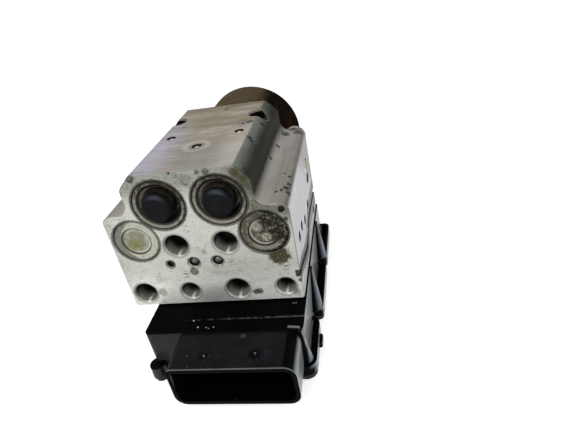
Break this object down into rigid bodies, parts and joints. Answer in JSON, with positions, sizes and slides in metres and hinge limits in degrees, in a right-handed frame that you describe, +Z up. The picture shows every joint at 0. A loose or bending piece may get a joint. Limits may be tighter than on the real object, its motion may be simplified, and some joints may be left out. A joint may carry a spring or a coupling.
{
  "type": "abs brake module",
  "caption": "Anti-lock brake module: drilled aluminium valve block with pipe ports, pump motor behind and a control unit with a plug shroud below.",
  "frame": {"origin": "on the flat underside of the control unit, below the block's centre plane and in the plane of its machined port face", "axes": "+X to the right when facing the ports, +Y from the ports back to the motor along the motor's axis, +Z up from the control unit to the block's crown"},
  "size_m": [0.0933, 0.1927, 0.0986],
  "materials": {
    "machined_aluminium": "machined, tumbled",
    "bright_steel": "ground",
    "plated_steel": "zinc plated, dull",
    "pressed_steel": "pressed, stained",
    "motor_steel": "dark plated steel, rusty",
    "spring_steel": "drawn wire",
    "valve_steel": "turned",
    "piston_aluminium": "anodised",
    "plug_aluminium": "turned, stained",
    "bronze": "sintered",
    "copper": "bare",
    "ferrite": "matt",
    "carbon": "pressed carbon",
    "moulded_plastic": "moulded",
    "housing_plastic": "moulded, half gloss, dusty",
    "coil_plastic": "moulded over the winding",
    "rubber": "matt",
    "board": "solder mask",
    "pin_metal": "tin plated"
  },
  "bodies": {
    "root": {"bearing_outer_ring": "bright_steel", "brush_holder": "moulded_plastic", "carbon_brushes": "carbon", "circuit_board": "board", "ecu_cover": "housing_plastic", "ecu_gasket": "rubber", "ecu_housing": "housing_plastic", "ecu_screws": "plated_steel", "front_ball_plugs": "bright_steel", "inlet_valve_1": "valve_steel", "inlet_valve_2": "valve_steel", "inlet_valve_3": "valve_steel", "inlet_valve_4": "valve_steel", "inlet_valve_coils": "coil_plastic", "left_accumulator_cap": "rubber", "left_accumulator_cover": "pressed_steel", "left_accumulator_spring": "spring_steel", "left_damper_element": "rubber", "left_damper_plug": "plug_aluminium", "left_pump_plug": "plug_aluminium", "left_pump_sleeve": "bright_steel", "left_pump_spring": "spring_steel", "motor_can": "motor_steel", "motor_end_plate": "plated_steel", "motor_magnets": "ferrite", "motor_screws": "plated_steel", "motor_terminals": "copper", "narrow_connector_pins": "pin_metal", "outlet_valve_1": "valve_steel", "outlet_valve_2": "valve_steel", "outlet_valve_3": "valve_steel", "outlet_valve_4": "valve_steel", "outlet_valve_coils": "coil_plastic", "pump_outlet_balls": "bright_steel", "rear_bush": "bronze", "right_accumulator_cap": "rubber", "right_accumulator_cover": "pressed_steel", "right_accumulator_spring": "spring_steel", "right_damper_element": "rubber", "right_damper_plug": "plug_aluminium", "right_pump_plug": "plug_aluminium", "right_pump_sleeve": "bright_steel", "right_pump_spring": "spring_steel", "side_ball_plugs": "bright_steel", "tail_bearing": "bright_steel", "top_ball_plugs": "bright_steel", "valve_block": "machined_aluminium", "wide_connector_pins": "pin_metal"},
    "rotor": {"motor_shaft": "bright_steel", "bearing_inner_ring": "bright_steel", "armature_core": "ferrite", "armature_windings": "copper", "commutator": "copper"},
    "eccentric_ring": {"eccentric_ring": "bright_steel"},
    "left_pump_piston": {"left_pump_piston": "bright_steel"},
    "right_pump_piston": {"right_pump_piston": "bright_steel"},
    "left_accumulator_piston": {"left_accumulator_piston": "piston_aluminium", "left_accumulator_seal": "rubber"},
    "right_accumulator_piston": {"right_accumulator_piston": "piston_aluminium", "right_accumulator_seal": "rubber"}
  },
  "joints": [
    {"name": "rotor_spin", "type": "hinge", "parent": "root", "child": "rotor", "pos_m": [0, 0.0695, 0.061], "axis": [0, 1, 0], "continuous": true},
    {"name": "eccentric_ring_spin", "type": "hinge", "parent": "rotor", "child": "eccentric_ring", "pos_m": [0, 0.0695, 0.0622], "axis": [0, 1, 0], "continuous": true},
    {"name": "left_pump_stroke", "type": "slide", "parent": "root", "child": "left_pump_piston", "axis": [1, 0, 0], "range_m": [0, 0.00125], "deforming": ["left_pump_spring"]},
    {"name": "left_accumulator_stroke", "type": "slide", "parent": "root", "child": "left_accumulator_piston", "axis": [0, -1, 0], "range_m": [0, 0.008], "stiffness_N_per_m": 2000, "deforming": ["left_accumulator_spring"]},
    {"name": "right_pump_stroke", "type": "slide", "parent": "root", "child": "right_pump_piston", "axis": [-1, 0, 0], "range_m": [0, 0.00125], "deforming": ["right_pump_spring"]},
    {"name": "right_accumulator_stroke", "type": "slide", "parent": "root", "child": "right_accumulator_piston", "axis": [0, -1, 0], "range_m": [0, 0.008], "stiffness_N_per_m": 2000, "deforming": ["right_accumulator_spring"]}
  ],
  "couplings": [
    {"joint": "eccentric_ring_spin", "follows": "rotor_spin", "ratio": -1}
  ]
}
